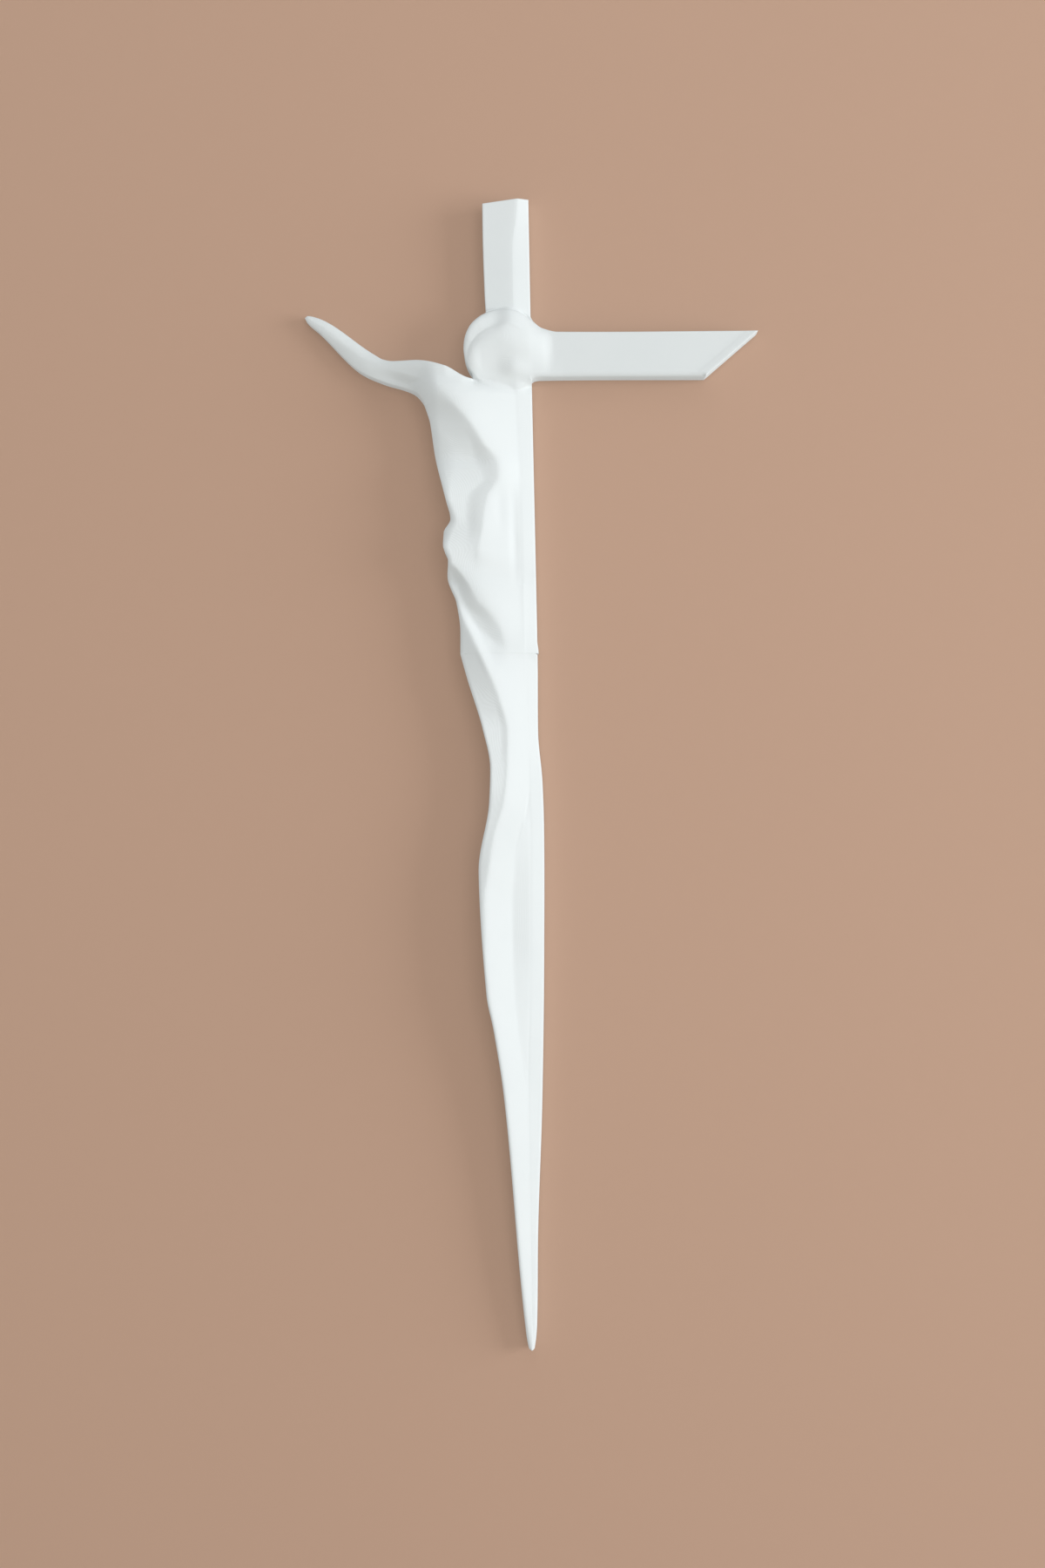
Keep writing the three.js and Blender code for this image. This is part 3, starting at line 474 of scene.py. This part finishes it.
def column_place(stretch):
    low_left, low_right, low_bow = GUIDES[stretch]
    high_left, high_right, high_bow = GUIDES[stretch + 1]

    def place(u, v):
        rise = crowd(v, COLUMN_ROWS[stretch], ROW_LENGTHS[stretch])
        left_z = lerp(low_left, high_left, rise)
        right_z = lerp(low_right, high_right, rise)
        left = COLUMN_LEFT[stretch](left_z)
        flared = body_right(right_z) + CORNER_FLARE * fade(right_z, FLARE_TOP, FLARE_FOOT)
        right = flared if stretch < 2 else STEM_RIGHT
        share = crowd(u, COLUMN_CELLS, right - left)
        x = lerp(left, right, share)
        bow = lerp(low_bow(x), high_bow(x), rise) * ((u > 0) & (u < 1))
        return x, lerp(left_z, right_z, share) + bow

    return place


def bar_place(u, v):
    along = crowd(u, BAR_CELLS, BAR_TIP - STEM_RIGHT)
    rise = crowd(v, COLUMN_ROWS[2], ROW_LENGTHS[2])
    low = lerp(STEM_RIGHT, BAR_END, along)
    top = lerp(STEM_RIGHT, BAR_TIP, along)
    return lerp(low, top, rise), lerp(bar_low(low), bar_top(top), rise)


def arm_place(u, v):
    """u runs from the hand to the shoulder, v from the arm's lower edge to its upper one."""
    out = 1 - u
    rise = crowd(v, COLUMN_ROWS[1], ROW_LENGTHS[1])
    top = lerp(NOTCH[0], HAND[0], 0.5 * out + 0.5 * np.sin(math.pi * out / 2))
    low = lerp(ARMPIT[0], HAND[0], 0.5 - 0.5 * np.cos(math.pi * out))
    x = np.where(u < 1, lerp(low, top, rise), lerp(ARMPIT[0], NOTCH[0], rise))
    z = np.where(u < 1, lerp(arm_low(low), arm_top(top), rise), lerp(ARMPIT[1], NOTCH[1], rise))
    return x, z


def leg_place(u, v):
    """The legs, with a small nick at the right end of the joint."""
    bend = FOOT_Z + FOOT_LENGTH
    top = SEAM - SHOWN_GAP
    share = FOOT_ROWS / (LEG_ROWS + FOOT_ROWS)
    foot = lerp(FOOT_Z, bend, 1 - np.cos(np.minimum(v / share, 1) * math.pi / 2))
    rest = lerp(bend, top, crowd(np.maximum(v - share, 0) / (1 - share), LEG_ROWS, top - bend))
    z = np.where(v < share, foot, rest)
    left, right = legs_left(z), body_right(z)
    x = lerp(left, right, crowd(u, LEG_CELLS, np.maximum(right - left, 4 * EDGE_STEPS[-1])))
    return x, z - NICK * fade(x, NICK_START, NICK_END) * fade(z, SEAM - NICK_FADE, top)


def rim_run(cells, place, edge):
    """Rim rows of (x, z, radius, drop), one at the start of each cell along a patch's edge."""
    x, z = place(np.arange(cells) / cells)
    radius, drop = edge(z) if callable(edge) else edge
    return np.column_stack([x, z, x * 0 + radius, x * 0 + drop])


def joint_run(cells, place):
    """The rim along the joint, whose fine line fades out towards the left."""
    rows = rim_run(cells, place, JOINT_EDGE)
    rows[:, 3] *= lerp(JOINT_FAINT, 1, fade(rows[:, 0], -12, 4))
    return rows


def upper_rim():
    torso, shoulder, head, stem = (column_place(k) for k in range(4))
    torso_rows, shoulder_rows, head_rows, stem_rows = COLUMN_ROWS
    return np.concatenate([
        joint_run(COLUMN_CELLS, lambda t: torso(t, t * 0)),
        rim_run(torso_rows, lambda t: torso(t * 0 + 1, t), RIGHT_EDGE),
        rim_run(shoulder_rows, lambda t: shoulder(t * 0 + 1, t), RIGHT_EDGE),
        rim_run(BAR_CELLS, lambda t: bar_place(t, t * 0), BAR_LOW_EDGE),
        rim_run(head_rows, lambda t: bar_place(t * 0 + 1, t), BAR_EDGE),
        rim_run(BAR_CELLS, lambda t: bar_place(1 - t, t * 0 + 1), BAR_EDGE),
        rim_run(stem_rows, lambda t: stem(t * 0 + 1, t), RIGHT_EDGE),
        rim_run(COLUMN_CELLS, lambda t: stem(1 - t, t * 0 + 1), BAR_EDGE),
        rim_run(stem_rows, lambda t: stem(t * 0, 1 - t), BAR_EDGE),
        rim_run(head_rows, lambda t: head(t * 0, 1 - t), head_edge),
        rim_run(ARM_CELLS, lambda t: arm_place(1 - t, t * 0 + 1), arm_top_edge),
        rim_run(ARM_CELLS, lambda t: arm_place(t, t * 0), arm_low_edge),
        rim_run(torso_rows, lambda t: torso(t * 0, 1 - t), torso_edge),
    ])


def lower_rim():
    rows = LEG_ROWS + FOOT_ROWS
    return np.concatenate([
        rim_run(rows, lambda t: leg_place(t * 0 + 1, t), lambda z: leg_edge(leg_right_radius, z)),
        joint_run(LEG_CELLS, lambda t: leg_place(1 - t, t * 0 + 1)),
        rim_run(rows, lambda t: leg_place(t * 0, 1 - t), lambda z: leg_edge(leg_left_radius, z)),
    ])


def printed_piece(name, patches, rim):
    """One closed print: carved patches of (columns, rows, place), a wall round them and a flat back."""
    bm = bmesh.new()
    for columns, rows, place in patches:
        grid = bmesh.ops.create_grid(bm, x_segments=columns, y_segments=rows, size=0.5)["verts"]
        shares = np.array([vert.co[:2] for vert in grid]) + 0.5
        u = np.rint(shares[:, 0] * columns) / columns
        v = np.rint(shares[:, 1] * rows) / rows
        x, z = place(u, v)
        height = dressed_height(x, z, rim)
        for vert, at in zip(grid, np.column_stack([x, -height, z]) * MM):
            vert.co = at
    bmesh.ops.remove_doubles(bm, verts=bm.verts, dist=WELD)
    front_rim = [edge for edge in bm.edges if edge.is_boundary]
    wall = bmesh.ops.extrude_edge_only(bm, edges=front_rim)["geom"]
    for vert in (item for item in wall if isinstance(item, bmesh.types.BMVert)):
        vert.co.y = 0
    back_rim = [edge for edge in bm.edges if edge.is_boundary]
    bmesh.ops.contextual_create(bm, geom=back_rim)
    bmesh.ops.recalc_face_normals(bm, faces=bm.faces)
    for face in bm.faces:
        face.smooth = True
    mesh = bpy.data.meshes.new(name)
    bm.to_mesh(mesh)
    bm.free()
    mesh.set_sharp_from_angle(angle=math.radians(CREASE_ANGLE))
    piece = bpy.data.objects.new(name, mesh)
    bpy.context.scene.collection.objects.link(piece)
    return piece


def make_upper():
    patches = [(COLUMN_CELLS, rows, column_place(k)) for k, rows in enumerate(COLUMN_ROWS)]
    patches.append((BAR_CELLS, COLUMN_ROWS[2], bar_place))
    patches.append((ARM_CELLS, COLUMN_ROWS[1], arm_place))
    return printed_piece("upper_print", patches, upper_rim())


def make_lower():
    return printed_piece("lower_print", [(LEG_CELLS, LEG_ROWS + FOOT_ROWS, leg_place)], lower_rim())


# The finish
PLASTIC_DARK = (0.775, 0.80, 0.80, 1)
PLASTIC_LIGHT = (0.815, 0.835, 0.83, 1)
PLASTIC_ROUGHNESS = (0.50, 0.62)
PLASTIC_GLOSS = 0.4
CLOUD_SCALE = 38.0
GRAIN_SCALE = 900.0
GRAIN_SHARE = 0.5
SURFACE_STRENGTH = 0.35
SURFACE_DEPTH = 0.02 * MM
LAYER_PITCH = 0.2 * MM
LAYER_DEPTH = 1.5
LAYER_WOBBLE = 0.06 * MM
WOBBLE_SCALE = 90.0
LAYERS_SHOW_FROM, LAYERS_SHOW_FULL = 0.93, 0.99
MATT = 0.9


def new_material(name):
    material = bpy.data.materials.new(name)
    material.use_nodes = True
    nodes = material.node_tree.nodes
    nodes.clear()
    output = nodes.new("ShaderNodeOutputMaterial")
    shader = nodes.new("ShaderNodeBsdfPrincipled")
    material.node_tree.links.new(shader.outputs["BSDF"], output.inputs["Surface"])
    return material, shader


def node(tree, kind, settings=None, **inputs):
    """A node with plain settings, and inputs given as values or as other nodes' outputs."""
    made = tree.nodes.new(kind)
    for key, value in (settings or {}).items():
        setattr(made, key, value)
    for key, value in inputs.items():
        socket = made.inputs[int(key[1:])] if key[0] == "i" and key[1:].isdigit() else made.inputs[key]
        if isinstance(value, bpy.types.NodeSocket):
            tree.links.new(value, socket)
        else:
            socket.default_value = value
    return made


def math_node(tree, operation, *values):
    inputs = {f"i{k}": value for k, value in enumerate(values)}
    return node(tree, "ShaderNodeMath", {"operation": operation}, **inputs).outputs[0]


def layer_lines_group():
    """Fine printed layers, a step every pitch off the wall, which show as contour lines on shallow slopes."""
    group = bpy.data.node_groups.new("layer_lines", "ShaderNodeTree")
    group.interface.new_socket("Pitch", in_out="INPUT", socket_type="NodeSocketFloat")
    group.interface.new_socket("Depth", in_out="INPUT", socket_type="NodeSocketFloat")
    group.interface.new_socket("Height", in_out="OUTPUT", socket_type="NodeSocketFloat")
    given = group.nodes.new("NodeGroupInput")
    result = group.nodes.new("NodeGroupOutput")
    place = node(group, "ShaderNodeTexCoord").outputs["Object"]
    wobble = node(group, "ShaderNodeTexNoise", Vector=place, Scale=WOBBLE_SCALE, Detail=1.0).outputs["Fac"]
    height = node(group, "ShaderNodeSeparateXYZ", Vector=place).outputs["Y"]
    uneven = math_node(group, "MULTIPLY_ADD", wobble, LAYER_WOBBLE, height)
    layers = math_node(group, "DIVIDE", uneven, given.outputs["Pitch"])
    saw = math_node(group, "FRACT", layers)
    bend = math_node(group, "SINE", math_node(group, "MULTIPLY", saw, math.tau))
    normal = node(group, "ShaderNodeNewGeometry").outputs["Normal"]
    facing = node(group, "ShaderNodeSeparateXYZ", Vector=normal).outputs["Y"]
    flatness = math_node(group, "ABSOLUTE", facing)
    shallow = node(group, "ShaderNodeMapRange", {"interpolation_type": "SMOOTHSTEP"}, Value=flatness)
    shallow.inputs["From Min"].default_value = LAYERS_SHOW_FROM
    shallow.inputs["From Max"].default_value = LAYERS_SHOW_FULL
    shown = math_node(group, "MULTIPLY", bend, shallow.outputs["Result"])
    group.links.new(math_node(group, "MULTIPLY", shown, given.outputs["Depth"]), result.inputs["Height"])
    return group


def white_plastic():
    material, shader = new_material("matt_white_plastic")
    tree = material.node_tree
    place = node(tree, "ShaderNodeTexCoord").outputs["Object"]
    cloud = node(tree, "ShaderNodeTexNoise", Vector=place, Scale=CLOUD_SCALE, Detail=4.0, Roughness=0.6)
    spread = cloud.outputs["Fac"]
    tint = node(tree, "ShaderNodeMix", {"data_type": "RGBA"}, Factor=spread)
    tint.inputs[6].default_value = PLASTIC_DARK
    tint.inputs[7].default_value = PLASTIC_LIGHT
    tree.links.new(tint.outputs[2], shader.inputs["Base Color"])
    rough = node(tree, "ShaderNodeMapRange", Value=spread)
    rough.inputs["To Min"].default_value, rough.inputs["To Max"].default_value = PLASTIC_ROUGHNESS
    tree.links.new(rough.outputs["Result"], shader.inputs["Roughness"])
    lines = {"node_tree": layer_lines_group()}
    layers = node(tree, "ShaderNodeGroup", lines, Pitch=LAYER_PITCH, Depth=LAYER_DEPTH)
    grain = node(tree, "ShaderNodeTexNoise", Vector=place, Scale=GRAIN_SCALE, Detail=2.0).outputs["Fac"]
    relief = math_node(tree, "MULTIPLY_ADD", grain, GRAIN_SHARE, layers.outputs["Height"])
    surface = node(tree, "ShaderNodeBump", Height=relief, Strength=SURFACE_STRENGTH, Distance=SURFACE_DEPTH)
    tree.links.new(surface.outputs["Normal"], shader.inputs["Normal"])
    shader.inputs["Specular IOR Level"].default_value = PLASTIC_GLOSS
    return material


def plain(name, color):
    material, shader = new_material(name)
    shader.inputs["Base Color"].default_value = (*color, 1)
    shader.inputs["Roughness"].default_value = MATT
    return material, shader


# The stage
WALL_SIZE = (4.0, 4.0)
FLOOR_SIZE = (4.0, 3.0)
WALL_GLOSS = 0.1
SENSOR_HEIGHT = 36
NEAREST = 0.05


def stage_plane(name, size, matrix, material):
    bm = bmesh.new()
    sized = matrix @ Matrix.Diagonal((*size, 1, 1))
    bmesh.ops.create_grid(bm, x_segments=1, y_segments=1, size=0.5, matrix=sized)
    mesh = bpy.data.meshes.new(name)
    bm.to_mesh(mesh)
    bm.free()
    plane = bpy.data.objects.new(name, mesh)
    bpy.context.scene.collection.objects.link(plane)
    plane.data.materials.append(material)
    return plane


def backdrop_material():
    """A wall that shows from the front alone, so that the object's back can be seen from behind."""
    material, shader = plain("pale_wall", WALL_COLOR)
    shader.inputs["Specular IOR Level"].default_value = WALL_GLOSS
    tree = material.node_tree
    behind = node(tree, "ShaderNodeNewGeometry").outputs["Backfacing"]
    clear = node(tree, "ShaderNodeBsdfTransparent").outputs[0]
    mixed = node(tree, "ShaderNodeMixShader", i0=behind, i1=shader.outputs["BSDF"], i2=clear)
    output = next(item for item in tree.nodes if item.type == "OUTPUT_MATERIAL")
    tree.links.new(mixed.outputs[0], output.inputs["Surface"])
    return material


def panel_light(name, place, power):
    """A large soft panel that faces the object and doesn't show itself."""
    data = bpy.data.lights.new(name, "AREA")
    data.shape = "RECTANGLE"
    data.size, data.size_y = PANEL_SIZE
    data.energy = power
    data.color = KEY_TINT
    light = bpy.data.objects.new(name, data)
    light.location = place
    light.rotation_euler = (Vector(AIM) - Vector(place)).to_track_quat("-Z", "Y").to_euler()
    light.visible_camera = False
    bpy.context.scene.collection.objects.link(light)


def make_camera():
    """Square on to the wall, half way down the object, rolled by a degree as the photograph is."""
    data = bpy.data.cameras.new("camera")
    data.sensor_fit = "VERTICAL"
    data.sensor_height = SENSOR_HEIGHT
    data.lens = LENS
    data.clip_start = NEAREST
    camera = bpy.data.objects.new("camera", data)
    c, s = math.cos(CAMERA_ROLL), math.sin(CAMERA_ROLL)
    turned = Matrix(((c, s, 0, 0), (0, 0, -1, 0), (-s, c, 0, 0), (0, 0, 0, 1)))
    camera.matrix_world = Matrix.Translation(CAMERA_PLACE) @ turned
    bpy.context.scene.collection.objects.link(camera)
    bpy.context.scene.camera = camera


def make_stage():
    """A wall that lets light through to the object's back, a floor, three soft panels and the room light."""
    upright = Matrix.Translation((0, WALL_PLACE, 0)) @ Matrix.Rotation(math.pi / 2, 4, "X")
    backdrop = stage_plane("backdrop", WALL_SIZE, upright, backdrop_material())
    backdrop.visible_diffuse = False
    backdrop.visible_shadow = False
    level = Matrix.Translation((0, WALL_PLACE - FLOOR_SIZE[1] / 2, FLOOR_PLACE))
    stage_plane("floor", FLOOR_SIZE, level, plain("pale_floor", FLOOR_COLOR)[0])
    panel_light("key_panel", KEY_PLACE, KEY_POWER)
    panel_light("front_panel", FRONT_PLACE, FRONT_POWER)
    panel_light("top_panel", TOP_PLACE, TOP_POWER)
    bpy.context.scene.view_settings.view_transform = "Standard"
    world = bpy.data.worlds.new("studio")
    world.use_nodes = True
    background = world.node_tree.nodes["Background"]
    background.inputs["Color"].default_value = (*AMBIENT_TINT, 1)
    background.inputs["Strength"].default_value = AMBIENT
    bpy.context.scene.world = world


make_camera()
make_stage()
plastic = white_plastic()
for make, replaced in ((make_upper, "upper_section"), (make_lower, "lower_section")):
    piece = make()
    piece.data.materials.append(plastic)
    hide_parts(replaced)
    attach(piece, "root")
